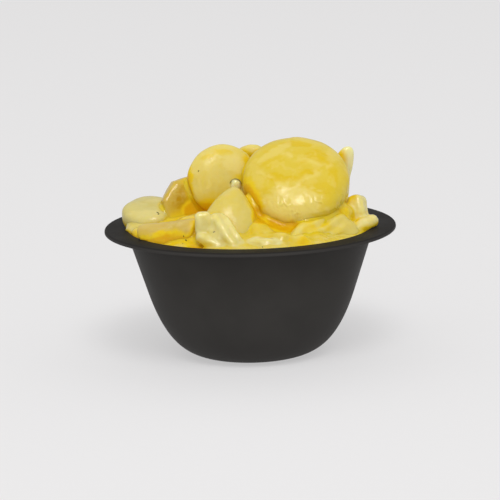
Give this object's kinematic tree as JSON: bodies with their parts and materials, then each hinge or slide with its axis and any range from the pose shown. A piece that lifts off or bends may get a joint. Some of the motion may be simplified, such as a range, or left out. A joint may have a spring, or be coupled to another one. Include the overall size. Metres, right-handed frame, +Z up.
{
  "type": "potato salad in a bowl",
  "caption": "Potato salad: thick boiled potato slices and onion pieces in yellow dressing, heaped in a round black plastic side bowl with a flat flange.",
  "frame": {"origin": "middle of the bowl's base, on the surface that it stands on", "axes": "+Z up out of the bowl, -Y towards the front that the picture shows, +X to its right"},
  "size_m": [0.12, 0.12, 0.0888],
  "materials": {
    "bowl_plastic": "satin black moulded plastic",
    "potato": "moist boiled potato under a thin glossy film of yellow dressing",
    "onion": "pale translucent onion, glossy with dressing",
    "dressed_salad": "thick glossy yellow dressing over small potato and onion pieces"
  },
  "bodies": {
    "root": {"bowl": "bowl_plastic", "salad_heap": "dressed_salad", "potato_slice_top_right": "potato", "potato_slice_top_left": "potato", "potato_slice_front_centre": "potato", "potato_slice_top_back": "potato", "potato_slice_mid_left": "potato", "potato_slice_far_left": "potato", "potato_slice_front_left": "potato", "potato_slice_front_right": "potato", "potato_slice_back_centre": "potato", "potato_slice_back_left": "potato", "potato_slice_back_low": "potato", "potato_slice_left_back": "potato", "potato_slice_right_back": "potato", "onion_strip_upright": "onion"}
  },
  "joints": []
}
